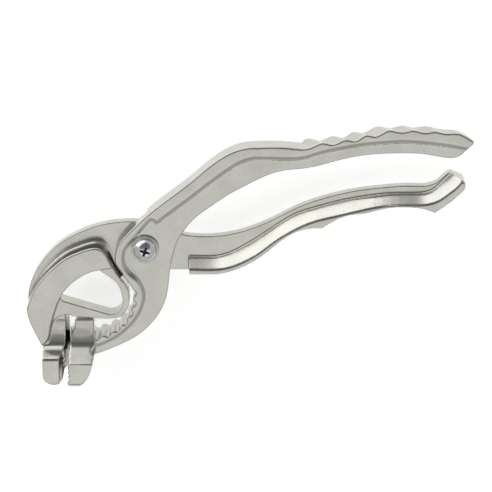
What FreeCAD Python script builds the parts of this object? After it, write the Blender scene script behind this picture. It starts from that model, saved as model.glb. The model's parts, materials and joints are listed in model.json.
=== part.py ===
"""Plier-type nutcracker: two die-cast levers that turn on one pivot screw.

The tool lies on its back.  The front lever carries the upper handle and the round, grooved jaw.
The back lever carries the lower handle, the hooked arm and its triangular lobe.  Each lever ends
in one half of a cupped tip.  A pan-head screw, two washers, a friction shim and a lock nut hold
the levers together.

Outlines are drawn from the pivot axis: x runs towards the handles, y across the tool and z along
the screw, with z = 0 at the face where the two levers meet.  Each piece's placement then moves
the tool so that its lowest face lies at z = 0 and its box is centred on the vertical axis.
"""
import FreeCAD, Part
import math
import os

import Sketcher
from FreeCAD import Vector

SIZES = {
    # where the pivot axis stands in the finished part's own frame
    "pivot_x": -42.1,
    "pivot_y": 4.1,
    "pivot_z": 12.0,
    # levels along the screw, from the face where the levers meet
    "back_web_rear": -4.0,
    "lever_gap": 0.3,
    "front_web": 4.7,
    "front_rim": 5.6,
    "flange_rear": -3.9,
    "jaw_rear": -8.4,
    "hook_front": 7.5,
    "lobe_front": 6.0,
    "lobe_rear": -1.8,
    "tip_half_width": 12.0,
    "neck_front": 4.4,
    "neck_rear": -8.4,
    "clear_cut": 20.0,
    # the round jaw and its grooves
    "jaw_centre_x": -23.0,
    "jaw_centre_y": -21.0,
    "jaw_radius": 17.9,
    "groove_radius": 1.2,
    # sloped inner side of the lower handle's flange
    "flange_slope": 3.2,
    # pivot screw, washers, shim and nut
    "screw_radius": 2.5,
    "bore_radius": 2.55,
    "head_radius": 4.75,
    "head_height": 3.3,
    "recess_depth": 2.0,
    "recess_span": 4.2,
    "recess_slot": 1.0,
    "recess_core": 1.0,
    "recess_turn": -17.0,
    "washer_radius": 5.65,
    "washer_thick": 1.0,
    "spot_face_radius": 6.3,
    "spot_face_depth": 0.05,
    "shim_radius": 6.0,
    "shim_thick": 0.7,
    "shim_pocket_radius": 6.1,
    "shim_pocket_depth": 0.5,
    "rear_washer_radius": 5.0,
    "nut_flats": 8.0,
    "nut_height": 3.6,
    "nut_collar_radius": 3.5,
    "insert_height": 1.4,
    "insert_radius": 3.1,
}

doc = FreeCAD.newDocument("Nutcracker")


def make_sheet():
    """Write every driving dimension into the spreadsheet, one alias for each."""
    sheet = doc.addObject("Spreadsheet::Sheet", "Sizes")
    for row, (alias, value) in enumerate(SIZES.items(), start=1):
        sheet.set(f"A{row}", alias)
        sheet.set(f"B{row}", str(value))
        sheet.setAlias(f"B{row}", alias)
    doc.recompute()
    return sheet


def cell(alias):
    """Name a sheet cell inside an expression."""
    return f"Sizes.{alias}"


# ---- drawing helpers -------------------------------------------------------------------------

def vectors(points):
    """Turn (x, y) pairs into flat vectors."""
    return [Vector(x, y, 0) for x, y in points]


def curve(*points):
    """One smooth curve through the points."""
    spline = Part.BSplineCurve()
    spline.interpolate(vectors(points))
    return spline


def lines(*points):
    """Straight runs from point to point."""
    corners = vectors(points)
    return [Part.LineSegment(a, b) for a, b in zip(corners, corners[1:])]


def arc(start, middle, end):
    """A round stretch through three points."""
    return Part.Arc(*vectors([start, middle, end]))


def ends(piece):
    """The first and last point of a drawn piece."""
    return piece.value(piece.FirstParameter), piece.value(piece.LastParameter)


def closed_loop(*pieces):
    """Join drawn pieces into one closed loop, with straight runs over the spaces between them."""
    flat = []
    for piece in pieces:
        flat.extend(piece if isinstance(piece, list) else [piece])
    loop = []
    for number, piece in enumerate(flat):
        loop.append(piece)
        here = ends(piece)[1]
        there = ends(flat[(number + 1) % len(flat)])[0]
        if here.distanceToPoint(there) > 1e-6:
            loop.append(Part.LineSegment(here, there))
    return loop


def new_body(name):
    """An empty body."""
    return doc.addObject("PartDesign::Body", name)


def plane_of(body, role):
    """One of a body's own origin planes."""
    return next(plane for plane in body.Origin.OriginFeatures if plane.Role == role)


def end_at(sketch, number, corner):
    """Which end of a sketched piece lies on a corner: 1 for its start, 2 for its end."""
    return min((1, 2), key=lambda end: sketch.getPoint(number, end).distanceToPoint(corner))


def new_sketch(body, name, level, role="XY_Plane"):
    """An empty sketch on a plane of the body, at a level given as an expression."""
    sketch = body.newObject("Sketcher::SketchObject", name)
    sketch.AttachmentSupport = (plane_of(body, role), [""])
    sketch.MapMode = "FlatFace"
    sketch.setExpression("AttachmentOffset.Base.z", level)
    return sketch


def sketch_shape(body, name, shape, level, role="XY_Plane"):
    """Draw a closed loop, or a circle on the pivot axis where the shape is a radius's alias."""
    sketch = new_sketch(body, name, level, role)
    if isinstance(shape, str):
        sketch.addGeometry(Part.Circle(Vector(), Vector(0, 0, 1), SIZES[shape]), False)
        sketch.addConstraint(Sketcher.Constraint("Coincident", 0, 3, -1, 1))
        radius = sketch.addConstraint(Sketcher.Constraint("Radius", 0, SIZES[shape]))
        sketch.setExpression(f"Constraints[{radius}]", cell(shape))
        return sketch
    sketch.addGeometry(shape, False)
    count = len(shape)
    for number in range(count if count > 1 else 0):
        follower = (number + 1) % count
        corner = ends(shape[number])[1]
        sketch.addConstraint(Sketcher.Constraint(
            "Coincident", number, end_at(sketch, number, corner),
            follower, end_at(sketch, follower, corner)))
    return sketch


def add(body, name, shape, low, high, role="XY_Plane"):
    """Pad a shape from one level to another."""
    pad = body.newObject("PartDesign::Pad", name)
    pad.Profile = sketch_shape(body, name + "_outline", shape, low, role)
    pad.setExpression("Length", f"({high}) - ({low})")
    doc.recompute()
    return pad


def cut(body, name, shape, low, high, role="XY_Plane"):
    """Cut a shape out of a body from one level up to another, and make sure that it did cut."""
    before = body.Shape.copy()
    pocket = body.newObject("PartDesign::Pocket", name)
    pocket.Profile = sketch_shape(body, name + "_outline", shape, low, role)
    pocket.Reversed = True
    pocket.setExpression("Length", f"({high}) - ({low})")
    doc.recompute()
    shrunk = body.Shape.Volume < before.Volume
    if not shrunk and before.common(pocket.AddSubShape).Volume < 1e-3:
        raise ValueError(f"{name} cuts nothing")
    return pocket


def slope_edges(body, name, line, height, size):
    """Slope off the edges of a body that run along a drawn line at one height."""
    chosen = []
    for number, edge in enumerate(body.Shape.Edges, start=1):
        middle = edge.valueAt((edge.FirstParameter + edge.LastParameter) / 2)
        flat = Vector(middle.x, middle.y, 0)
        off_line = flat.distanceToPoint(line.value(line.parameter(flat)))
        if abs(middle.z - height) < 0.01 and off_line < 0.05:
            chosen.append(f"Edge{number}")
    last = body.Tip
    slope = body.newObject("PartDesign::Chamfer", name)
    slope.Base = (last, chosen)
    slope.setExpression("Size", cell(size))
    doc.recompute()
    return slope


def circle(x, y, radius):
    """A full circle away from the pivot axis."""
    return [Part.Circle(Vector(x, y, 0), Vector(0, 0, 1), radius)]


def place(item, label):
    """Give a finished piece its label and its place in the part's frame."""
    item.Label = label
    for axis in "xyz":
        item.setExpression(f"Placement.Base.{axis}", cell(f"pivot_{axis}"))
    return item


def fuse(name, first, second):
    """Join two solids."""
    joined = doc.addObject("Part::Fuse", name)
    joined.Base, joined.Tool = first, second
    return joined


def common(name, first, second):
    """Keep what two solids share."""
    shared = doc.addObject("Part::Common", name)
    shared.Base, shared.Tool = first, second
    return shared


def less(name, first, second):
    """Take one solid out of another."""
    rest = doc.addObject("Part::Cut", name)
    rest.Base, rest.Tool = first, second
    return rest


# ---- front lever -----------------------------------------------------------------------------

JAW_X, JAW_Y = SIZES["jaw_centre_x"], SIZES["jaw_centre_y"]


def on_jaw(degrees):
    """A point at an angle round the round jaw's centre."""
    angle = math.radians(degrees)
    return (JAW_X + SIZES["jaw_radius"] * math.cos(angle),
            JAW_Y + SIZES["jaw_radius"] * math.sin(angle))


GROOVES = 7
FIRST_GROOVE, GROOVE_PITCH = 5.0, 14.5
JAW_START, JAW_END = 12.5, -88.0
HANDLE_RIDGES = [
    (122.0, 49.6), (117.5, 50.5), (113.6, 50.0), (109.0, 51.0), (104.2, 50.2), (98.7, 51.0),
    (93.3, 48.5), (90.0, 49.0), (85.3, 46.5), (82.0, 47.1), (76.4, 45.0), (72.7, 45.7),
    (67.3, 43.7),
]
HANDLE_BACK = [
    (59.0, 43.6), (47.0, 43.8), (43.0, 43.7), (37.0, 42.3), (28.9, 37.7), (18.7, 29.0),
    (8.4, 20.9), (2.2, 15.8), (-4.3, 9.7), (-8.8, 4.9), (-11.4, 1.2), (-12.5, -3.2),
    (-12.4, -6.0), (-10.4, -9.2), (-9.2, -11.4), (-7.0, -14.9),
]


def front_outline():
    """The whole front lever, seen along the screw."""
    underside = curve(
        (-22.6, -47.4), (-19.0, -46.2), (-15.1, -44.6), (-9.7, -42.1), (-4.3, -39.1), (1.0, -34.5),
        (5.1, -29.3), (7.9, -23.5), (9.5, -16.0), (10.2, -9.2), (11.3, -3.6), (12.9, 2.0),
        (15.2, 6.4), (20.9, 13.4), (26.1, 17.4), (33.9, 22.9), (41.7, 27.3), (49.4, 31.2),
        (56.1, 33.4), (62.1, 34.1), (68.1, 34.9), (80.0, 38.1), (89.0, 40.0), (98.0, 40.8),
        (107.0, 40.9), (113.0, 40.6), (119.0, 39.6), (124.3, 38.8), (127.3, 39.3), (130.3, 41.9),
        (133.2, 44.9),
    )
    handle_end = arc((133.2, 44.9), (133.5, 45.9), (132.9, 46.6))
    ridges = curve((132.9, 46.6), (130.6, 48.1), (126.6, 49.7), *HANDLE_RIDGES, *HANDLE_BACK[:3])
    back = curve(*HANDLE_BACK[2:], on_jaw(JAW_START))
    round_jaw = arc(on_jaw(JAW_START), on_jaw(-35.0), on_jaw(JAW_END))
    return closed_loop(underside, handle_end, ridges, back, round_jaw)


def build_front_lever():
    """The front lever: web, rim, rear flange, round grooved jaw and its half of the tip."""
    body = new_body("front_casting")
    rim, web, gap = cell("front_rim"), cell("front_web"), cell("lever_gap")
    behind = f"{cell('jaw_rear')} - {cell('clear_cut')}"
    add(body, "front_blank", front_outline(), cell("jaw_rear"), rim)
    jaw_top = [(-40.0, -16.5), (-8.0, -16.8), (-2.0, -18.2), (14.0, -22.6), (150.0, -22.6)]
    cut(body, "handle_back", closed_loop(lines(*jaw_top, (150.0, 70.0), (-40.0, 70.0))),
        behind, cell("flange_rear"))
    flange_inside = curve(
        (136.0, 42.6), (131.0, 45.3), (125.0, 46.4), (118.0, 47.4), (109.0, 48.0), (99.0, 47.6),
        (90.0, 45.7), (80.0, 43.2), (68.0, 41.2), (58.0, 40.9), (47.0, 41.2), (38.5, 39.9),
        (30.3, 35.4), (20.2, 26.8), (9.8, 18.6), (2.0, 12.4),
    )
    cut(body, "web_back",
        closed_loop(lines(*jaw_top, (150.0, 42.6)), flange_inside,
                    lines((2.0, 12.4), (-2.0, 18.0), (-40.0, 40.0))),
        behind, gap)
    web_edge = curve(
        (136.0, 40.8), (130.5, 42.3), (120.0, 44.2), (108.0, 45.4), (99.0, 45.2), (88.0, 44.1),
        (75.0, 41.6), (65.5, 38.8), (59.0, 38.2), (48.5, 38.4), (43.0, 38.1), (37.0, 35.4),
        (28.0, 28.8), (19.0, 21.6), (9.0, 13.8), (6.0, 11.4), (4.2, 10.9), (2.6, 12.0),
        (0.4, 9.6), (-3.3, 5.1), (-7.2, 0.3), (-8.4, -3.2), (-8.0, -6.7), (-6.0, -9.8),
        (-3.3, -12.3), (-1.5, -15.0), (-0.2, -19.0), (-0.3, -22.6), (-2.1, -28.1), (-5.5, -33.3),
        (-10.7, -38.3), (-16.0, -41.6), (-21.4, -43.9), (-26.0, -45.4),
    )
    cut(body, "web_front",
        closed_loop(web_edge, lines((-26.0, -60.0), (150.0, -60.0), (150.0, 40.8))),
        web, f"{rim} + {cell('clear_cut')}")
    flange_taper = closed_loop(
        curve((62.0, -3.95), (78.0, -3.2), (95.0, -2.2), (112.0, -1.4), (121.0, -0.6), (128.0, 1.2),
              (134.0, 3.6)),
        lines((134.0, -20.0), (62.0, -20.0)))
    cut(body, "flange_taper", flange_taper, "-60", "0", role="XZ_Plane")
    for number in range(GROOVES):
        x, y = on_jaw(FIRST_GROOVE - GROOVE_PITCH * number)
        cut(body, f"groove_{number + 1}", circle(x, y, SIZES["groove_radius"]),
            behind, f"{rim} + {cell('clear_cut')}")
    cut(body, "pivot_bore", "bore_radius", behind, f"{rim} + {cell('clear_cut')}")
    cut(body, "spot_face", "spot_face_radius", f"{web} - {cell('spot_face_depth')}",
        f"{rim} + {cell('clear_cut')}")
    return body


# ---- back lever ------------------------------------------------------------------------------

def back_outline():
    """The whole back lever, seen along the screw."""
    arm = curve(
        (-41.8, -48.0), (-42.2, -45.0), (-43.3, -42.4), (-45.0, -38.9), (-46.9, -34.6),
        (-48.5, -30.3), (-49.2, -26.5), (-49.1, -22.5), (-48.4, -18.5), (-47.0, -14.5), (-44.9, -10.3),
        (-41.6, -5.4), (-38.0, -1.5), (-34.2, 1.6), (-28.8, 4.8), (-23.4, 7.2), (-18.2, 8.9),
        (-13.0, 9.9), (-8.4, 10.3), (-3.5, 10.3), (3.0, 9.6), (9.5, 6.9), (16.2, 4.5),
        (22.0, 3.8), (28.6, 3.9), (36.4, 5.1), (44.3, 7.5), (52.1, 11.0), (62.4, 16.4),
        (71.4, 19.9), (80.4, 22.4), (89.8, 24.2), (98.8, 25.2), (107.9, 25.8), (115.0, 25.8),
        (118.7, 27.0), (121.1, 28.9), (123.4, 31.0), (125.2, 31.6),
    )
    handle_end = curve((125.2, 31.6), (127.8, 30.4), (130.5, 28.6), (130.6, 26.8), (129.2, 24.6),
                       (125.0, 20.6), (121.0, 17.6), (118.4, 15.7))
    finger_one = curve((118.4, 15.7), (113.4, 17.5), (107.4, 18.1), (100.1, 17.9), (95.2, 16.9),
                       (89.4, 15.4), (84.6, 14.9), (79.1, 13.2), (75.0, 10.8), (72.2, 9.0))
    finger_two = curve((72.2, 9.0), (67.1, 8.9), (61.4, 7.2), (55.5, 3.4), (49.6, -1.6),
                       (43.9, -5.7), (37.7, -8.7), (31.9, -10.5), (26.1, -11.0))
    hub = curve((10.0, -11.1), (2.0, -11.6), (-4.0, -12.2), (-9.6, -13.4))
    lobe = curve((-9.6, -13.4), (-7.7, -16.5), (-6.9, -19.0), (-6.7, -21.5), (-7.0, -24.5),
                 (-8.0, -27.0), (-9.9, -29.3), (-13.0, -30.4), (-21.1, -30.2), (-29.5, -29.5),
                 (-33.3, -29.2))
    return closed_loop(arm, handle_end, finger_one, finger_two, hub, lobe,
                       lines((-33.3, -29.2), (-34.0, -48.0)))


def build_back_lever():
    """The back lever: web, handle flange, raised hook, triangular lobe and its half of the tip."""
    body = new_body("back_casting")
    above = f"{cell('hook_front')} + {cell('clear_cut')}"
    behind = f"{cell('back_web_rear')} - {cell('clear_cut')}"
    add(body, "back_blank", back_outline(), cell("back_web_rear"), cell("hook_front"))
    hook_edge = curve(
        (-49.9, -26.6), (-47.9, -21.9), (-46.8, -19.1), (-45.1, -16.0), (-42.9, -12.9),
        (-39.4, -8.9), (-36.2, -5.9), (-31.2, -2.4), (-26.9, -0.6), (-22.9, 0.8), (-20.3, 1.1),
        (-18.2, 0.6), (-16.7, -0.8), (-15.4, -3.1), (-14.2, -5.9), (-12.8, -8.9), (-11.3, -11.4),
        (-8.5, -14.9),
    )
    flange_base = curve(
        (17.9, -5.2), (24.0, -5.3), (29.8, -5.1), (34.5, -3.8), (39.8, -1.1), (45.8, 2.6),
        (51.7, 6.7), (57.4, 10.7), (62.0, 13.3), (71.3, 16.5), (80.3, 19.0), (89.7, 20.8),
        (98.7, 22.0), (107.7, 22.3), (113.8, 22.5), (117.6, 23.7), (121.6, 27.4), (125.4, 31.3),
        (128.6, 34.6),
    )
    cut(body, "web_face",
        closed_loop(hook_edge, lines((-8.5, -14.9), (18.1, -14.9)), flange_base,
                    lines((128.6, 60.0), (-70.0, 60.0), (-70.0, -26.6))),
        "0", above)
    cut(body, "flange_face", closed_loop(lines((14.0, -20.0), (150.0, -20.0), (150.0, 60.0),
                                               (14.0, 60.0))), cell("lobe_front"), above)
    slope_edges(body, "flange_inside", flange_base, SIZES["lobe_front"], "flange_slope")
    lobe_edge = curve(
        (-12.0, -7.6), (-15.9, -8.1), (-19.3, -8.8), (-24.0, -11.5), (-29.0, -15.2),
        (-33.8, -18.8), (-36.7, -23.9), (-38.7, -30.1), (-39.7, -34.0), (-40.4, -38.0),
        (-42.2, -41.2), (-45.5, -43.0),
    )
    cut(body, "lobe_face",
        closed_loop(lobe_edge, lines((-45.5, -60.0), (0.0, -60.0), (0.0, -7.6))),
        cell("lobe_front"), above)
    window = closed_loop(
        curve((-19.2, -8.9), (-16.0, -11.3), (-12.8, -13.8), (-10.7, -16.9), (-9.8, -20.3),
              (-9.6, -23.5), (-10.4, -26.0), (-12.0, -27.6), (-13.9, -28.3), (-16.2, -28.1)),
        lines((-16.2, -28.1), (-33.6, -22.7)),
        curve((-33.6, -22.7), (-34.9, -21.7), (-34.9, -20.0), (-33.8, -18.3), (-32.2, -16.4),
              (-28.6, -13.0), (-25.0, -10.7), (-22.0, -9.4), (-19.2, -8.9)))
    cut(body, "window", window, behind, above)
    lobe_back = closed_loop(
        curve((-4.0, -14.6), (-9.6, -14.2), (-13.0, -12.2), (-18.0, -10.4), (-23.0, -10.6),
              (-29.0, -14.4), (-33.5, -19.0), (-35.6, -24.0), (-36.6, -31.0)),
        lines((-36.6, -31.0), (-28.0, -31.8), (-4.0, -36.0)))
    cut(body, "lobe_back", lobe_back, behind, cell("lobe_rear"))
    neck = closed_loop(
        curve((-31.0, -28.8), (-33.7, -28.8), (-36.2, -29.6), (-38.0, -31.1), (-39.1, -33.2),
              (-39.9, -36.9), (-40.6, -41.0)),
        lines((-40.6, -41.0), (-40.6, -60.0), (-31.0, -60.0)))
    cut(body, "neck_face", neck, cell("neck_front"), above)
    cut(body, "screw_hole", "bore_radius", behind, above)
    cut(body, "shim_pocket", "shim_pocket_radius", f"-{cell('shim_pocket_depth')}", above)
    return body


# ---- cupped tips -----------------------------------------------------------------------------

TEETH = 6
TOOTH_PITCH = 2.0
TOOTH_TOP = -44.6
TEETH_REAR = "-4"
LIP_REAR, OPEN_FRONT = "8.6", "20"
SIDE_VIEW_SPAN = ("-50", "-15")
FACE_SPAN = ("25", "70")


def tip_side(*shoulder):
    """The tip seen from its side: a narrow neck that widens over its shoulder into the cup."""
    wide, rear = SIZES["tip_half_width"], SIZES["neck_rear"]
    return closed_loop(
        lines((shoulder[0][0], rear), shoulder[0]),
        curve(*shoulder),
        lines(shoulder[-1], (-56.6, wide)),
        curve((-56.6, wide), (-58.2, wide - 0.5), (-59.2, wide - 1.8), (-59.6, wide - 4.0)),
        lines((-59.6, wide - 4.0), (-59.6, 4.0 - wide)),
        curve((-59.6, 4.0 - wide), (-59.2, 1.8 - wide), (-58.2, 0.5 - wide), (-56.6, -wide)),
        lines((-56.6, -wide), (-46.5, -wide)),
        curve((-46.5, -wide), (-44.4, 0.6 - wide), (-42.2, 2.4 - wide), (-40.0, rear)),
    )


def toothed_loop(crest, valley, far_side):
    """A row of teeth seen along the screw, closed round the side that is cut away."""
    steps = [(valley if number % 2 else crest, TOOTH_TOP - number * TOOTH_PITCH / 2)
             for number in range(2 * TEETH + 1)]
    return closed_loop(lines(*steps, (far_side, steps[-1][1]), (far_side, TOOTH_TOP)))


def build_tip(name, plan, shoulder, face, far_side, teeth, teeth_front):
    """One half of the cupped tip: plan and side views crossed, then its meeting face and teeth."""
    half = cell("tip_half_width")
    flat = new_body(name + "_plan")
    add(flat, name + "_plan_pad", plan, f"-{half}", half)
    side = new_body(name + "_side")
    add(side, name + "_side_pad", tip_side(*shoulder), *SIDE_VIEW_SPAN, role="YZ_Plane")
    mouth = new_body(name + "_mouth")
    inner = closed_loop(lines(*face, (far_side, face[-1][1]), (far_side, face[0][1])))
    add(mouth, name + "_mouth_pad", inner, *FACE_SPAN, role="XZ_Plane")
    row = new_body(name + "_teeth")
    add(row, name + "_teeth_pad", teeth, TEETH_REAR, teeth_front)
    block = common(name + "_block", flat, side)
    return less(name, less(name + "_faced", block, mouth), row)


def build_back_tip():
    """The back lever's half of the tip, with a lip in front of its teeth."""
    plan = closed_loop(
        lines((-39.0, -31.5), (-41.5, -38.0)),
        curve((-41.5, -38.0), (-42.7, -41.4), (-43.1, -45.0)),
        lines((-43.1, -45.0), (-43.1, -53.4)),
        curve((-43.1, -53.4), (-42.8, -55.2), (-41.5, -56.9), (-39.3, -57.9), (-37.2, -57.8),
              (-35.6, -57.1), (-33.0, -55.8)),
        lines((-33.0, -55.8), (-30.0, -52.0), (-30.0, -31.5)))
    shoulder = [(-31.0, 4.4), (-36.0, 4.8), (-39.5, 5.2), (-42.4, 6.2), (-43.9, 7.9), (-45.0, 10.2),
                (-46.0, 11.6), (-47.4, 12.0)]
    face = [(-36.9, 14.0), (-33.4, 4.4), (-32.6, 0.0), (-32.2, -3.0), (-33.8, -14.0)]
    teeth = toothed_loop(-35.6, -36.6, -25.0)
    return build_tip("back_tip", plan, shoulder, face, -10.0, teeth, LIP_REAR)


def build_front_tip():
    """The front lever's half of the tip, rounded like a thumb, its teeth open to the front."""
    plan = closed_loop(
        lines((-35.0, -40.0), (-31.4, -38.8), (-29.7, -34.5), (-29.3, -31.0), (-21.6, -31.0),
              (-21.8, -36.0)),
        curve((-21.8, -36.0), (-22.2, -38.2), (-21.5, -41.0), (-21.4, -44.6), (-22.0, -47.8),
              (-22.9, -51.3), (-24.1, -54.4), (-26.0, -57.2), (-28.4, -59.0), (-30.6, -59.3),
              (-32.5, -58.2), (-33.6, -56.0)),
        lines((-33.6, -56.0), (-35.0, -54.0)))
    shoulder = [(-31.0, 5.2), (-35.0, 5.4), (-39.0, 5.8), (-41.8, 6.5), (-43.6, 7.8), (-45.4, 9.3),
                (-47.1, 10.7), (-48.6, 12.0)]
    face = [(-33.4, 14.0), (-31.3, 4.4), (-31.2, 0.0), (-31.8, -3.0), (-33.4, -14.0)]
    teeth = toothed_loop(-32.6, -31.9, -45.0)
    return build_tip("front_tip", plan, shoulder, face, -50.0, teeth, OPEN_FRONT)


# ---- pivot screw, washers, shim and nut ------------------------------------------------------

RUNNING_GAP = 0.1
SCREW_END = -11.0


def ring(name, inner, outer, low, high):
    """A flat ring on the pivot axis, its two radii bound to the sheet."""
    body = new_body(name + "_ring")
    add(body, name + "_disc", outer, low, high)
    cut(body, name + "_bore", inner, f"{low} - 1", f"{high} + 1")
    return body


def build_screw():
    """Pan-head pivot screw: a turned profile with a cross recess in its crown."""
    shaft, head = SIZES["screw_radius"], SIZES["head_radius"]
    seat = SIZES["front_web"] + RUNNING_GAP + SIZES["washer_thick"]
    crown = seat + SIZES["head_height"]
    profile = closed_loop(
        lines((0.0, SCREW_END), (shaft - 0.6, SCREW_END), (shaft, SCREW_END + 0.6), (shaft, seat),
              (head - 0.15, seat), (head, seat + 0.15), (head, seat + 0.7)),
        curve((head, seat + 0.7), (head * 0.93, seat + 1.7), (head * 0.76, crown - 0.9),
              (head * 0.45, crown - 0.22), (0.0, crown)),
        lines((0.0, crown), (0.0, SCREW_END)))
    body = new_body("screw_turned")
    sketch = sketch_shape(body, "screw_profile", profile, "0", role="XZ_Plane")
    turned = body.newObject("PartDesign::Revolution", "screw_blank")
    turned.Profile = sketch
    turned.ReferenceAxis = (sketch, ["V_Axis"])
    turned.Angle = 360
    doc.recompute()
    arm, half = SIZES["recess_span"] / 2, SIZES["recess_slot"] / 2
    cross = [(arm, half), (half, half), (half, arm), (-half, arm), (-half, half), (-arm, half),
             (-arm, -half), (-half, -half), (-half, -arm), (half, -arm), (half, -half),
             (arm, -half)]
    turn = math.radians(SIZES["recess_turn"])
    turned_cross = [(x * math.cos(turn) - y * math.sin(turn), x * math.sin(turn) + y * math.cos(turn))
                    for x, y in cross]
    floor = f"{crown} - {cell('recess_depth')}"
    cut(body, "cross_recess", closed_loop(lines(*turned_cross)), floor, f"{crown} + 1")
    cut(body, "core_recess", "recess_core", floor, f"{crown} + 1")
    return body


def build_nut():
    """Lock nut behind the back lever: hexagon with a round collar that holds the nylon ring."""
    body = new_body("nut_hexagon")
    corner = SIZES["nut_flats"] / math.sqrt(3)
    hexagon = [(corner * math.cos(math.radians(60 * k)), corner * math.sin(math.radians(60 * k)))
               for k in range(6)]
    face = f"{cell('back_web_rear')} - {cell('washer_thick')}"
    low = f"{face} - {cell('nut_height')}"
    end = f"{low} - {cell('insert_height')}"
    add(body, "nut_blank", closed_loop(lines(*hexagon)), low, face)
    add(body, "nut_collar", "nut_collar_radius", end, low)
    cut(body, "nut_bore", "bore_radius", f"{end} - 1", f"{face} + 1")
    cut(body, "insert_seat", "insert_radius", f"{end} - 1", low)
    return body



# ---- assembly --------------------------------------------------------------------------------

def check_document():
    """Stop if any object of the document failed to compute."""
    for item in doc.Objects:
        if "Invalid" in item.State or "Error" in item.State:
            raise ValueError(f"{item.Name} failed: {item.State}")


def check_piece(item):
    """Stop if a finished piece isn't a valid solid, and print its size."""
    shape = item.Shape
    if shape.isNull() or not shape.isValid() or not shape.Solids:
        raise ValueError(f"{item.Label} has no valid solid")
    box = shape.BoundBox
    print(f"{item.Label:14s} {len(shape.Solids)} solid(s) {shape.Volume:9.1f} mm3  "
          f"x {box.XMin:.1f}..{box.XMax:.1f}  y {box.YMin:.1f}..{box.YMax:.1f}  "
          f"z {box.ZMin:.1f}..{box.ZMax:.1f}")


make_sheet()
web_top = f"{cell('front_web')} + {RUNNING_GAP}"
shim_seat = f"-{cell('shim_pocket_depth')}"
nut_face = f"{cell('back_web_rear')} - {cell('washer_thick')}"
nut_end = f"{nut_face} - {cell('nut_height')} - {cell('insert_height')}"
pieces = [
    place(fuse("front_joined", build_front_lever(), build_front_tip()), "front_lever"),
    place(fuse("back_joined", build_back_lever(), build_back_tip()), "back_lever"),
    place(build_screw(), "pivot_screw"),
    place(ring("head_washer", "bore_radius", "washer_radius", web_top,
               f"{web_top} + {cell('washer_thick')}"), "head_washer"),
    place(ring("shim", "bore_radius", "shim_radius", shim_seat,
               f"{shim_seat} + {cell('shim_thick')}"), "friction_shim"),
    place(ring("rear_washer", "bore_radius", "rear_washer_radius", nut_face,
               cell("back_web_rear")), "rear_washer"),
    place(build_nut(), "lock_nut"),
    place(ring("insert", "bore_radius", "insert_radius", nut_end,
               f"{nut_end} + {cell('insert_height')}"), "nut_insert"),
]
doc.recompute()
check_document()
os.makedirs("parts", exist_ok=True)
for piece in pieces:
    check_piece(piece)
    piece.Shape.exportStep(f"parts/{piece.Label}.step")
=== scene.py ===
"""Looks for a plier-type nutcracker: two die-cast levers on one pivot screw.

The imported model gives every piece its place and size.  The levers are rebuilt here from their
solids with the soft edges of a die casting, and the screw, washers, shim and nut get the edges
and finishes of turned and stamped steel.  Shapes are worked out in millimetres from the pivot
axis, with x towards the handles, y across the tool and z along the screw.
"""

from __future__ import annotations

import json
import logging
import math
from dataclasses import dataclass
from enum import Enum
from typing import Any, Union

import bmesh
import bpy
import numpy as np
from mathutils import Matrix, Vector

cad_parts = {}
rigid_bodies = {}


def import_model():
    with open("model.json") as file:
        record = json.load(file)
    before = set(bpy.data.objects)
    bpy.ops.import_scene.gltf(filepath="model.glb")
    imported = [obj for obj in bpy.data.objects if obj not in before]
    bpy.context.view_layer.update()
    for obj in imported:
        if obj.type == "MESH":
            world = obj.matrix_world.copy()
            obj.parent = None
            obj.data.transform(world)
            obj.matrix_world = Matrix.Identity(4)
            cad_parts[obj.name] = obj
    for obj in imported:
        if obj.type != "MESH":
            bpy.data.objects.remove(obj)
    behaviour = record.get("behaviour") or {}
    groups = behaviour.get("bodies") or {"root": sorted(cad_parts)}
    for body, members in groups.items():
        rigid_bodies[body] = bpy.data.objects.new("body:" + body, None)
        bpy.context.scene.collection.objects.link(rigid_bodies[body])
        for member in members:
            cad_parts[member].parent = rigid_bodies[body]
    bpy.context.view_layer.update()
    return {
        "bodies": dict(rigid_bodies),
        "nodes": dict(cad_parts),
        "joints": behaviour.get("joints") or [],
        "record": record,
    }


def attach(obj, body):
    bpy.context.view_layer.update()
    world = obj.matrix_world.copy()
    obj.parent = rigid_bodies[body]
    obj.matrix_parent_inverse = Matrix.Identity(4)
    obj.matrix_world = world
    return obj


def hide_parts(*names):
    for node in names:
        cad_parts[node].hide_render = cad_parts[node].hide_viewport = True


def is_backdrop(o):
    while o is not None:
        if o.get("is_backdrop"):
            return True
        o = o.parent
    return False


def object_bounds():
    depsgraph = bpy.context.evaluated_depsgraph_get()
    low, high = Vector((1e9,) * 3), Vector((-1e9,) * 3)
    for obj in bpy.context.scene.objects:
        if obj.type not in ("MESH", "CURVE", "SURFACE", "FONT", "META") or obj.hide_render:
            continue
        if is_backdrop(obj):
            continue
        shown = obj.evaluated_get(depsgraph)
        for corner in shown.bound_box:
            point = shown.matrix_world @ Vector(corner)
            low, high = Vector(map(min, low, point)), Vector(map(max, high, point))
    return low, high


LOG = logging.getLogger("nutcracker")
MM = 0.001
DISTANCE_BATCH = 20000
COLOUR_MIX_FIRST, COLOUR_MIX_SECOND, COLOUR_MIX_RESULT = 6, 7, 2

Colour = tuple[float, float, float]
Value = Union["Field", float, Colour]
FRAME: dict[str, Any] = {}


class Arm(Enum):
    """The two bodies that turn on the pivot screw."""

    BACK = "back_arm"
    FRONT = "front_arm"


def pivot() -> Vector:
    """The middle of the pivot, in metres."""
    return Vector(FRAME["joints"][0]["pos_m"])


# ---- shader maths ----------------------------------------------------------------------------


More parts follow.
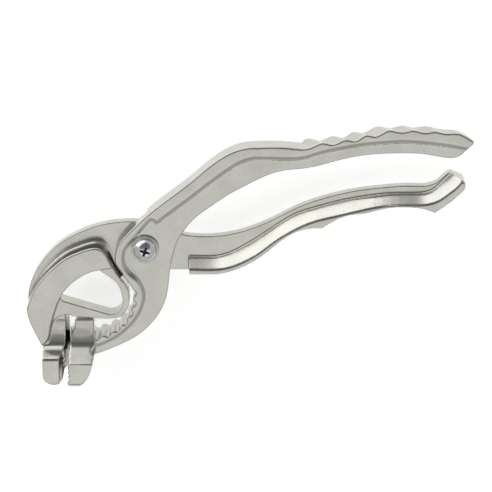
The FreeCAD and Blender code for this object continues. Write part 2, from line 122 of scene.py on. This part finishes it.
class Field:
    """One output of a shader node, with arithmetic that adds Math nodes."""

    def __init__(self, graph: Graph, socket: bpy.types.NodeSocket) -> None:
        """Wrap a socket of a graph."""
        self.graph = graph
        self.socket = socket

    def _math(self, operation: str, first: Value, second: Value) -> Field:
        """Add one Math node over two values."""
        return self.graph.node("ShaderNodeMath", {"operation": operation}, {0: first, 1: second})

    def __add__(self, other: Value) -> Field:
        """Sum."""
        return self._math("ADD", self, other)

    __radd__ = __add__

    def __sub__(self, other: Value) -> Field:
        """Difference."""
        return self._math("SUBTRACT", self, other)

    def __rsub__(self, other: Value) -> Field:
        """Difference from a plain number."""
        return self._math("SUBTRACT", other, self)

    def __mul__(self, other: Value) -> Field:
        """Product."""
        return self._math("MULTIPLY", self, other)

    __rmul__ = __mul__

    def smooth(self, low: float, high: float) -> Field:
        """Rise smoothly from 0 to 1 between two levels."""
        return self.graph.node(
            "ShaderNodeMapRange",
            {"interpolation_type": "SMOOTHSTEP"},
            {"Value": self, "From Min": low, "From Max": high},
        )


class Graph:
    """A node tree that is written as expressions."""

    def __init__(self, tree: bpy.types.NodeTree) -> None:
        """Take over a node tree and empty it."""
        self.tree = tree
        tree.nodes.clear()

    def node(
        self,
        kind: str,
        settings: dict[str, Any] | None = None,
        inputs: dict[str | int, Value] | None = None,
        output: str | int = 0,
    ) -> Field:
        """Add a node.

        Args:
            kind: the node's type.
            settings: its properties, set first.
            inputs: the value or link of each input socket, by name or number.
            output: the output socket to hand on.

        Returns:
            The chosen output.
        """
        made = self.tree.nodes.new(kind)
        for key, value in (settings or {}).items():
            setattr(made, key, value)
        for key, value in (inputs or {}).items():
            self._feed(made.inputs[key], value)
        return Field(self, made.outputs[output] if made.outputs else None)

    def _feed(self, socket: bpy.types.NodeSocket, value: Value) -> None:
        """Link a field to a socket, or set a plain value on it."""
        if isinstance(value, Field):
            self.tree.links.new(value.socket, socket)
        elif isinstance(value, tuple) and len(socket.default_value) == len(value) + 1:
            socket.default_value = (*value, 1.0)
        else:
            socket.default_value = value

    def place(self) -> Field:
        """Where a point lies on its piece, in metres, as it stands at rest."""
        return self.node("ShaderNodeTexCoord", output="Object")

    def noise(self, place: Field, size_mm: float, detail: float = 2.0) -> Field:
        """Soft noise whose features are about a size across, from 0 to 1."""
        return self.node(
            "ShaderNodeTexNoise",
            {},
            {"Vector": place, "Scale": 1.0 / (size_mm * MM), "Detail": detail},
            "Fac",
        )

    def spots(self, place: Field, spacing_mm: float) -> Field:
        """Distance to scattered points about a spacing apart, 0 at each point."""
        return self.node(
            "ShaderNodeTexVoronoi",
            {},
            {"Vector": place, "Scale": 1.0 / (spacing_mm * MM)},
            "Distance",
        )

    def blend(self, share: Field, first: Value, second: Value) -> Field:
        """Mix two colours."""
        return self.node(
            "ShaderNodeMix",
            {"data_type": "RGBA"},
            {"Factor": share, COLOUR_MIX_FIRST: first, COLOUR_MIX_SECOND: second},
            COLOUR_MIX_RESULT,
        )

    def bump(self, height: Field, depth_mm: float, under: Field | None = None) -> Field:
        """Turn a height from 0 to 1 into a bumped normal of a real depth.

        Args:
            height: the height over the surface.
            depth_mm: how deep the relief is.
            under: the normal of a relief that this one lies on.

        Returns:
            The normal.
        """
        inputs = {"Height": height, "Distance": depth_mm * MM, "Strength": 1.0}
        if under:
            inputs["Normal"] = under
        return self.node("ShaderNodeBump", {}, inputs)

    def surface(self, **sockets: Value) -> None:
        """Finish a material with a Principled shader; an underscore stands for a space."""
        named = {key.replace("_", " "): value for key, value in sockets.items()}
        shader = self.node("ShaderNodeBsdfPrincipled", {}, named)
        self.node("ShaderNodeOutputMaterial", {}, {"Surface": shader})


def new_material(name: str) -> tuple[bpy.types.Material, Graph]:
    """Make an empty material and its graph."""
    made = bpy.data.materials.new(name)
    made.use_nodes = True
    return made, Graph(made.node_tree)


# ---- finishes --------------------------------------------------------------------------------


@dataclass(frozen=True)
class CastNickel:
    """Satin nickel plate over a zinc die casting: fine grain, cloudy sheen and a few pits.

    Attributes:
        cloud_shade, grain_shade, pit_shade: how much each one deepens the colour.
        grain_haze, pit_haze: how much each one adds to the roughness.
    """

    colour: Colour = (0.6, 0.595, 0.548)
    deep_colour: Colour = (0.52, 0.515, 0.468)
    roughness: tuple[float, float] = (0.13, 0.2)
    cloud_mm: float = 9.0
    grain_mm: float = 0.45
    grain_depth_mm: float = 0.006
    pit_spacing_mm: float = 3.8
    pit_share: float = 0.085
    pit_depth_mm: float = 0.05
    cloud_shade: float = 0.5
    grain_shade: float = 0.45
    pit_shade: float = 0.8
    grain_haze: float = 0.06
    pit_haze: float = 0.15

    def material(self) -> bpy.types.Material:
        """Build the material."""
        made, graph = new_material("cast_satin_nickel")
        place = graph.place()
        cloud = graph.noise(place, self.cloud_mm, 3.0)
        grain = graph.noise(place, self.grain_mm, 3.0)
        pits = 1.0 - graph.spots(place, self.pit_spacing_mm).smooth(0.0, self.pit_share)
        low, high = self.roughness
        rough = cloud * (high - low) + low + grain * self.grain_haze + pits * self.pit_haze
        grained = graph.bump(grain, self.grain_depth_mm)
        shade = cloud.smooth(0.3, 0.7) * self.cloud_shade
        shade = shade + grain.smooth(0.35, 0.65) * self.grain_shade + pits * self.pit_shade
        graph.surface(
            Base_Color=graph.blend(shade, self.colour, self.deep_colour),
            Metallic=1.0,
            Roughness=rough,
            Normal=graph.bump(1.0 - pits, self.pit_depth_mm, grained),
        )
        return made


@dataclass(frozen=True)
class TurnedSteel:
    """Plated steel, turned or stamped: fine rings round the pivot, haze, and painted shade in the
    screw's recess.

    Attributes:
        recess_mm: the radius of the screw's recess and the height above which no painted shade
            darkens it.
        haze_mm: the size of the hazy patches.
        haze_shade: how bright the colour stays in them.
        ring_haze: how much the rings add to the roughness.
        painted_shade: the near-black colour of the painted shade deep in the recess.
        painted_shade_fade_mm: the height over which the painted shade fades out.
    """

    name: str
    colour: Colour
    roughness: tuple[float, float]
    ring_mm: float
    ring_depth_mm: float
    recess_mm: tuple[float, float] | None = None
    haze_mm: float = 2.5
    haze_shade: float = 0.88
    ring_haze: float = 0.05
    # Painted shade for the screw's recess: a near-black colour that fades out towards the head's
    # crown.
    painted_shade: Colour = (0.03, 0.03, 0.035)
    painted_shade_fade_mm: float = 0.4

    def material(self) -> bpy.types.Material:
        """Build the material; the rings run round the pivot axis."""
        made, graph = new_material(self.name)
        place = graph.place()
        axis = graph.node(
            "ShaderNodeVectorMath", {"operation": "SUBTRACT"}, {0: place, 1: tuple(pivot())}
        )
        flat = graph.node(
            "ShaderNodeVectorMath", {"operation": "MULTIPLY"}, {0: axis, 1: (1.0, 1.0, 0.0)}
        )
        radius = graph.node("ShaderNodeVectorMath", {"operation": "LENGTH"}, {0: flat}, "Value")
        rings = graph.node(
            "ShaderNodeTexNoise",
            {"noise_dimensions": "1D"},
            {"W": radius, "Scale": 1.0 / (self.ring_mm * MM), "Detail": 2.0},
            "Fac",
        )
        haze = graph.noise(place, self.haze_mm, 3.0)
        low, high = self.roughness
        hazy_colour = tuple(self.haze_shade * part for part in self.colour)
        colour = graph.blend(haze.smooth(0.3, 0.7), self.colour, hazy_colour)
        # Painted shade: darken the colour to near black inside the recess radius and below the
        # given height.
        if self.recess_mm:
            reach, height = (size * MM for size in self.recess_mm)
            level = graph.node(
                "ShaderNodeVectorMath",
                {"operation": "DOT_PRODUCT"},
                {0: axis, 1: (0.0, 0.0, 1.0)},
                "Value",
            )
            inside = 1.0 - radius.smooth(reach, 1.1 * reach)
            deep = 1.0 - level.smooth(height - self.painted_shade_fade_mm * MM, height)
            colour = graph.blend(inside * deep, colour, self.painted_shade)
        graph.surface(
            Base_Color=colour,
            Metallic=1.0,
            Roughness=haze * (high - low) + low + rings * self.ring_haze,
            Normal=graph.bump(rings, self.ring_depth_mm),
        )
        return made


@dataclass(frozen=True)
class Nylon:
    """Moulded nylon, slightly waxy."""

    colour: Colour = (0.09, 0.2, 0.45)
    roughness: float = 0.42
    grain_mm: float = 0.5
    grain_depth_mm: float = 0.01

    def material(self) -> bpy.types.Material:
        """Build the material."""
        made, graph = new_material("moulded_nylon")
        grain = graph.noise(graph.place(), self.grain_mm, 2.0)
        graph.surface(
            Base_Color=graph.blend(grain, self.colour, tuple(0.8 * part for part in self.colour)),
            Roughness=grain * 0.1 + self.roughness,
            Normal=graph.bump(grain, self.grain_depth_mm),
        )
        return made


# ---- shaping helpers -------------------------------------------------------------------------


def ramp(values: np.ndarray, low: float, high: float) -> np.ndarray:
    """Rise smoothly from 0 to 1 between two levels."""
    share = np.clip((values - low) / (high - low), 0.0, 1.0)
    return share * share * (3.0 - 2.0 * share)


def smooth_line(points: tuple[tuple[float, float], ...], step: float = 0.25) -> np.ndarray:
    """Points close together along a smooth curve through a few given ones.

    Args:
        points: the (x, y) places that the line passes through, in millimetres.
        step: how far apart the returned points are.

    Returns:
        An array of (x, y) points.
    """
    ends = [points[0], *points, points[-1]]
    line = []
    for before, start, stop, after in zip(ends, ends[1:], ends[2:], ends[3:]):
        p0, p1, p2, p3 = (np.array(p, float) for p in (before, start, stop, after))
        count = max(2, int(np.linalg.norm(p2 - p1) / step))
        t = np.linspace(0.0, 1.0, count, endpoint=False)[:, None]
        line.append(0.5 * (2 * p1 + (p2 - p0) * t + (2 * p0 - 5 * p1 + 4 * p2 - p3) * t**2
                           + (3 * p1 - p0 - 3 * p2 + p3) * t**3))
    return np.concatenate(line)


def distance_to_line(points: np.ndarray, line: np.ndarray) -> np.ndarray:
    """How far each (x, y) point lies from the nearest point of a line."""
    nearest = np.full(len(points), np.inf)
    for start in range(0, len(points), DISTANCE_BATCH):
        batch = slice(start, start + DISTANCE_BATCH)
        gaps = points[batch][:, None, :] - line[None, :, :]
        nearest[batch] = np.sqrt((gaps**2).sum(axis=2).min(axis=1))
    return nearest


# ---- levers ----------------------------------------------------------------------------------


@dataclass
class Casting:
    """One die-cast lever, rebuilt from its solid with softened edges.

    Attributes:
        node: the CAD node that it stands for.
        arm: the body that it moves with.
        voxel: spacing of the new surface's points, in millimetres.
        passes: how often the surface is smoothed.
        crisp: the (x, y) place and radius of a spot whose small teeth stay sharper.
        crisp_share: how much of the smoothing the teeth get.
        weld: how close points are joined, in millimetres.
    """

    node: str
    arm: Arm
    voxel: float = 0.3
    passes: int = 8
    crisp: tuple[float, float, float] = (-33.5, -52.0, 8.0)
    crisp_share: float = 0.35
    weld: float = 0.001

    def shape(self, points: np.ndarray) -> np.ndarray:
        """Return the points with this lever's own details worked in."""
        return points

    def build(self, finish: bpy.types.Material) -> bpy.types.Object:
        """Make the lever's piece and put it on its body.

        Args:
            finish: the material of the casting.

        Returns:
            The new piece.
        """
        source = FRAME["nodes"][self.node]
        mesh = source.data.copy()
        mesh.name = self.node + "_casting"
        mesh.materials.clear()
        to_mm = Matrix.Scale(1.0 / MM, 4) @ Matrix.Translation(-pivot())
        mesh.transform(to_mm)
        self._weld(mesh)
        piece = bpy.data.objects.new(self.node + "_casting", mesh)
        bpy.context.scene.collection.objects.link(piece)
        self._resurface(piece)
        mesh = piece.data
        flat = np.empty(len(mesh.vertices) * 3)
        mesh.vertices.foreach_get("co", flat)
        mesh.vertices.foreach_set("co", self.shape(flat.reshape(-1, 3)).ravel())
        mesh.transform(to_mm.inverted())
        mesh.shade_smooth()
        mesh.materials.append(finish)
        mesh.update()
        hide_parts(self.node)
        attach(piece, self.arm.value)
        LOG.info("%s: %d faces", piece.name, len(mesh.polygons))
        return piece

    def _weld(self, mesh: bpy.types.Mesh) -> None:
        """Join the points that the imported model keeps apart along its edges."""
        work = bmesh.new()
        work.from_mesh(mesh)
        bmesh.ops.remove_doubles(work, verts=work.verts, dist=self.weld)
        work.to_mesh(mesh)
        work.free()

    def _resurface(self, piece: bpy.types.Object) -> None:
        """Lay an even surface over the solid and smooth it, except where teeth are kept."""
        remesh = piece.modifiers.new("even_surface", "REMESH")
        remesh.mode = "VOXEL"
        remesh.voxel_size = self.voxel
        self._apply(piece)
        mesh = piece.data
        flat = np.empty(len(mesh.vertices) * 3)
        mesh.vertices.foreach_get("co", flat)
        points = flat.reshape(-1, 3)
        x, y, radius = self.crisp
        near = np.hypot(points[:, 0] - x, points[:, 1] - y)
        weights = self.crisp_share + (1.0 - self.crisp_share) * ramp(near, radius * 0.7, radius)
        levels = np.round(weights, 1)
        group = piece.vertex_groups.new(name="softened")
        for level in np.unique(levels):
            chosen = np.nonzero(levels == level)[0]
            group.add(chosen.tolist(), float(level), "REPLACE")
        smooth = piece.modifiers.new("soft_edges", "SMOOTH")
        smooth.iterations = self.passes
        smooth.vertex_group = group.name
        self._apply(piece)
        piece.vertex_groups.clear()

    def _apply(self, piece: bpy.types.Object) -> None:
        """Turn the piece's modifiers into plain mesh."""
        graph = bpy.context.evaluated_depsgraph_get()
        made = bpy.data.meshes.new_from_object(piece.evaluated_get(graph))
        old = piece.data
        piece.modifiers.clear()
        piece.data = made
        bpy.data.meshes.remove(old)


@dataclass
class FrontLever(Casting):
    """The lever with the upper handle, whose finger ridges run slantwise over its back edge.

    Attributes:
        ridge_line: the middle of the ridged edge, from the bend to the handle's end.
        ridge_slant: how far the ridges lean towards the pivot for each millimetre of depth.
        ridge_span: the x places where the lean starts, is full, starts to end, and ends.
        rim_level: the height of the raised rim, where the ridges keep their place.
        web_level: the height of the web beside the rim.
        rim_edge: the foot of the rim, from the handle's end round to the jaw.
        rim_slope: how far from its foot the rim starts to fall away.
        rim_margin: how far above the web a point has to be to belong to the rim.
        tip_top: where the rim ends, above the cupped tip.
    """

    node: str = "front_lever"
    arm: Arm = Arm.FRONT
    ridge_line: tuple[tuple[float, float], ...] = (
        (59.0, 43.6), (70.0, 44.6), (80.0, 46.2), (90.0, 48.4), (100.0, 50.2), (110.0, 50.6),
        (120.0, 49.8), (132.0, 47.0),
    )
    ridge_slant: float = 0.6
    ridge_span: tuple[float, float, float, float] = (62.0, 72.0, 116.0, 131.0)
    rim_level: float = 5.6
    web_level: float = 4.7
    rim_edge: tuple[tuple[float, float], ...] = (
        (136.0, 40.8), (130.5, 42.3), (120.0, 44.2), (108.0, 45.4), (99.0, 45.2), (88.0, 44.1),
        (75.0, 41.6), (65.5, 38.8), (59.0, 38.2), (48.5, 38.4), (43.0, 38.1), (37.0, 35.4),
        (28.0, 28.8), (19.0, 21.6), (9.0, 13.8), (6.0, 11.4), (4.2, 10.9), (2.6, 12.0),
        (0.4, 9.6), (-3.3, 5.1), (-7.2, 0.3), (-8.4, -3.2), (-8.0, -6.7), (-6.0, -9.8),
        (-3.3, -12.3), (-1.5, -15.0), (-0.2, -19.0), (-0.3, -22.6), (-2.1, -28.1), (-5.5, -33.3),
        (-10.7, -38.3), (-16.0, -41.6), (-21.4, -43.9),
    )
    rim_slope: float = 2.4
    rim_margin: float = 0.1
    tip_top: float = -46.0

    def shape(self, points: np.ndarray) -> np.ndarray:
        """Lean the ridges back along the handle's line, and slope the rim down to the web."""
        line_x, line_y = np.array(self.ridge_line).T
        slope = np.interp(points[:, 0], line_x, np.gradient(line_y, line_x))
        length = np.hypot(1.0, slope)
        first, full, last, end = self.ridge_span
        share = ramp(points[:, 0], first, full) * (1.0 - ramp(points[:, 0], last, end))
        slide = -self.ridge_slant * np.clip(self.rim_level - points[:, 2], 0.0, None) * share
        moved = points.copy()
        moved[:, 0] += slide / length
        moved[:, 1] += slide * slope / length
        raised = (points[:, 2] > self.web_level + self.rim_margin) & (points[:, 1] > self.tip_top)
        gap = distance_to_line(points[raised][:, :2], smooth_line(self.rim_edge))
        fall = (1.0 - np.clip(gap / self.rim_slope, 0.0, 1.0)) ** 2
        moved[raised, 2] -= fall * (points[raised, 2] - self.web_level)
        return moved


@dataclass
class BackLever(Casting):
    """The lever with the lower handle, whose flat grip band is set off by a fine step line.

    Attributes:
        step_line: the line between the rounded and the flat part of the grip.
        step_depth: how deep the line is pressed in.
        step_width: half the width of the line.
        step_start: the x place where the grip starts.
        grip_level: the height of the flat band.
        slope_foot: the height at which the slope inside the line ends.
        slope_shape: the slope's fall at the line, and how much it steepens each millimetre.
    """

    node: str = "back_lever"
    arm: Arm = Arm.BACK
    step_line: tuple[tuple[float, float], ...] = (
        (17.0, -8.7), (31.9, -8.5), (43.9, -3.5), (55.5, 5.1), (67.1, 11.3), (80.1, 14.8),
        (98.4, 18.9), (116.3, 19.7), (125.1, 25.0), (129.0, 29.0),
    )
    step_depth: float = 0.12
    step_width: float = 0.3
    step_start: float = 15.0
    grip_level: float = 6.0
    slope_foot: float = 1.2
    slope_shape: tuple[float, float] = (0.84, 0.05)

    def shape(self, points: np.ndarray) -> np.ndarray:
        """Press the step line into the grip's face, and slope the grip from it to the web."""
        moved = points.copy()
        line = smooth_line(self.step_line)
        face = (points[:, 2] > self.slope_foot) & (points[:, 0] > self.step_start)
        near = points[face]
        gap = distance_to_line(near[:, :2], line)
        inside = near[:, 1] > np.interp(near[:, 0], line[:, 0], line[:, 1])
        crown, bend = self.slope_shape
        slope = np.maximum(self.grip_level - gap * (crown + bend * gap), self.slope_foot)
        level = np.where(inside, np.minimum(near[:, 2], slope), near[:, 2])
        moved[face, 2] = level - self.step_depth * np.exp(-((gap / self.step_width) ** 2))
        return moved


# ---- pivot hardware --------------------------------------------------------------------------


@dataclass
class PivotHardware:
    """Screw, washers, shim, nut and its nylon ring: the solids keep their shape and get edges.

    Attributes:
        edge: width of the broken edges, in millimetres.
        edge_angle: how sharp an edge has to be to be broken, in degrees.
        weld: how close points are joined, in millimetres.
    """

    edge: float = 0.12
    edge_angle: float = 40.0
    weld: float = 0.002

    def build(self) -> None:
        """Dress every piece of the pivot."""
        bright = TurnedSteel(
            name="bright_nickel_plate",
            colour=(0.78, 0.785, 0.79),
            roughness=(0.08, 0.14),
            ring_mm=0.5,
            ring_depth_mm=0.002,
            # The screw's recess gets painted shade within 2.5 mm of the axis and below 8.5 mm.
            recess_mm=(2.5, 8.5),
        )
        dull = TurnedSteel(
            name="zinc_plated_steel",
            colour=(0.66, 0.66, 0.65),
            roughness=(0.36, 0.46),
            ring_mm=0.3,
            ring_depth_mm=0.006,
        )
        steel = dull.material()
        self._dress("pivot_screw", bright.material())
        for node in ("head_washer", "friction_shim", "rear_washer", "lock_nut"):
            self._dress(node, steel)
        self._dress("nut_insert", Nylon().material())

    def _dress(self, node: str, finish: bpy.types.Material) -> None:
        """Break a solid's edges and give it its finish."""
        piece = FRAME["nodes"][node]
        piece.data.materials.clear()
        piece.data.materials.append(finish)
        weld = piece.modifiers.new("weld", "WELD")
        weld.merge_threshold = self.weld * MM
        bevel = piece.modifiers.new("broken_edges", "BEVEL")
        bevel.width = self.edge * MM
        bevel.segments = 2
        bevel.limit_method = "ANGLE"
        bevel.angle_limit = math.radians(self.edge_angle)
        piece.data.shade_smooth()
        LOG.info("%s dressed", node)


# ---- studio ----------------------------------------------------------------------------------


@dataclass
class Studio:
    """Pale floor, a soft dome of light and the camera above the handles' side.

    Attributes:
        tilt: how far the camera leans from straight above, in degrees.
        distance: from the camera to the tool, in metres.
        aim: the point that the camera looks at, in millimetres from the pivot axis.
        lens: focal length on a 36 mm sensor.
        floor_size: the floor's side, in metres.
        floor_glow: the light that the floor gives off itself.
        even_light: the light from all round.
        softbox_way, overhead_way: the directions of the two brighter areas.
        softbox_light, overhead_light: what they add to the even light.
        patch_height: how far ahead of straight up the dark patch lies.
        patch_half: half the dark patch's size across and ahead.
        patch_shade: how much of the light the dark patch takes away.
    """

    tilt: float = 20.0
    distance: float = 1.0
    aim: tuple[float, float, float] = (41.4, 1.35, 5.3)
    lens: float = 178.5
    floor_size: float = 8.0
    floor_colour: Colour = (0.82, 0.82, 0.82)
    floor_glow: float = 0.62
    even_light: float = 0.5
    softbox_way: Colour = (-0.6, 0.75, 0.3)
    softbox_light: float = 1.2
    overhead_way: Colour = (0.0, -0.35, 0.94)
    overhead_light: float = 0.43
    patch_height: float = 0.3
    patch_half: tuple[float, float] = (0.6, 0.5)
    patch_shade: float = 0.7

    def build(self) -> None:
        """Make the floor, light and camera."""
        self._floor()
        self._dome()
        self._camera()

    def _towards_camera(self) -> Vector:
        """The direction from the tool to the camera."""
        angle = math.radians(self.tilt)
        return Vector((0.0, math.sin(angle), math.cos(angle)))

    def _floor(self) -> None:
        """A plain pale floor under the lowest point of the tool."""
        half = self.floor_size / 2
        low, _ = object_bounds()
        mesh = bpy.data.meshes.new("floor")
        corners = [(-half, -half), (half, -half), (half, half), (-half, half)]
        mesh.from_pydata([(x, y, low.z) for x, y in corners], [], [(0, 1, 2, 3)])
        made, graph = new_material("pale_floor")
        graph.surface(
            Base_Color=self.floor_colour,
            Roughness=0.9,
            Specular_IOR_Level=0.1,
            Emission_Color=(1.0, 1.0, 1.0),
            Emission_Strength=self.floor_glow,
        )
        mesh.materials.append(made)
        floor = bpy.data.objects.new("floor", mesh)
        bpy.context.scene.collection.objects.link(floor)
        floor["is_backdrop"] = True

    def _dome(self) -> None:
        """Soft light from all round, with a softbox behind the tip and a dark patch overhead."""
        world = bpy.data.worlds.new("studio")
        world.use_nodes = True
        bpy.context.scene.world = world
        graph = Graph(world.node_tree)
        way = graph.node("ShaderNodeTexCoord", output="Generated")

        def along(direction: Vector) -> Field:
            """How far a way points along a direction, from -1 to 1."""
            return graph.node(
                "ShaderNodeVectorMath",
                {"operation": "DOT_PRODUCT"},
                {0: way, 1: tuple(direction)},
                "Value",
            )

        half_side, half_rise = self.patch_half
        side = along(Vector((1.0, 0.0, 0.0))) * (1.0 / half_side)
        rise = (along(Vector((0.0, 1.0, 0.0))) - self.patch_height) * (1.0 / half_rise)
        patch = 1.0 - (side * side + rise * rise).smooth(0.7, 1.25)
        patch = patch * along(Vector((0.0, 0.0, 1.0))).smooth(0.0, 0.2)
        softbox = along(Vector(self.softbox_way).normalized()).smooth(0.76, 0.9)
        overhead = along(Vector(self.overhead_way)).smooth(0.8, 0.95)
        light = self.even_light + softbox * self.softbox_light + overhead * self.overhead_light
        light = light * (1.0 - patch * self.patch_shade)
        shade = graph.node(
            "ShaderNodeBackground", {}, {"Color": (1.0, 1.0, 1.0), "Strength": light}
        )
        graph.node("ShaderNodeOutputWorld", {}, {"Surface": shade})

    def _camera(self) -> None:
        """The camera, aimed at the middle of the tool."""
        data = bpy.data.cameras.new("camera")
        data.lens = self.lens
        data.clip_start, data.clip_end = 0.05, 20.0
        camera = bpy.data.objects.new("camera", data)
        aim = Vector(self.aim) * MM + pivot()
        camera.location = aim + self._towards_camera() * self.distance
        camera.rotation_euler = (-math.radians(self.tilt), 0.0, 0.0)
        bpy.context.scene.collection.objects.link(camera)
        bpy.context.scene.camera = camera


# ---- making ----------------------------------------------------------------------------------


def main() -> None:
    """Load the frame and build the tool's looks."""
    logging.basicConfig(level=logging.INFO, format="%(name)s: %(message)s")
    FRAME.update(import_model())
    nickel = CastNickel().material()
    BackLever().build(nickel)
    FrontLever().build(nickel)
    PivotHardware().build()
    Studio().build()
    bpy.context.scene.view_settings.view_transform = "Standard"


if __name__ == "__main__":
    main()
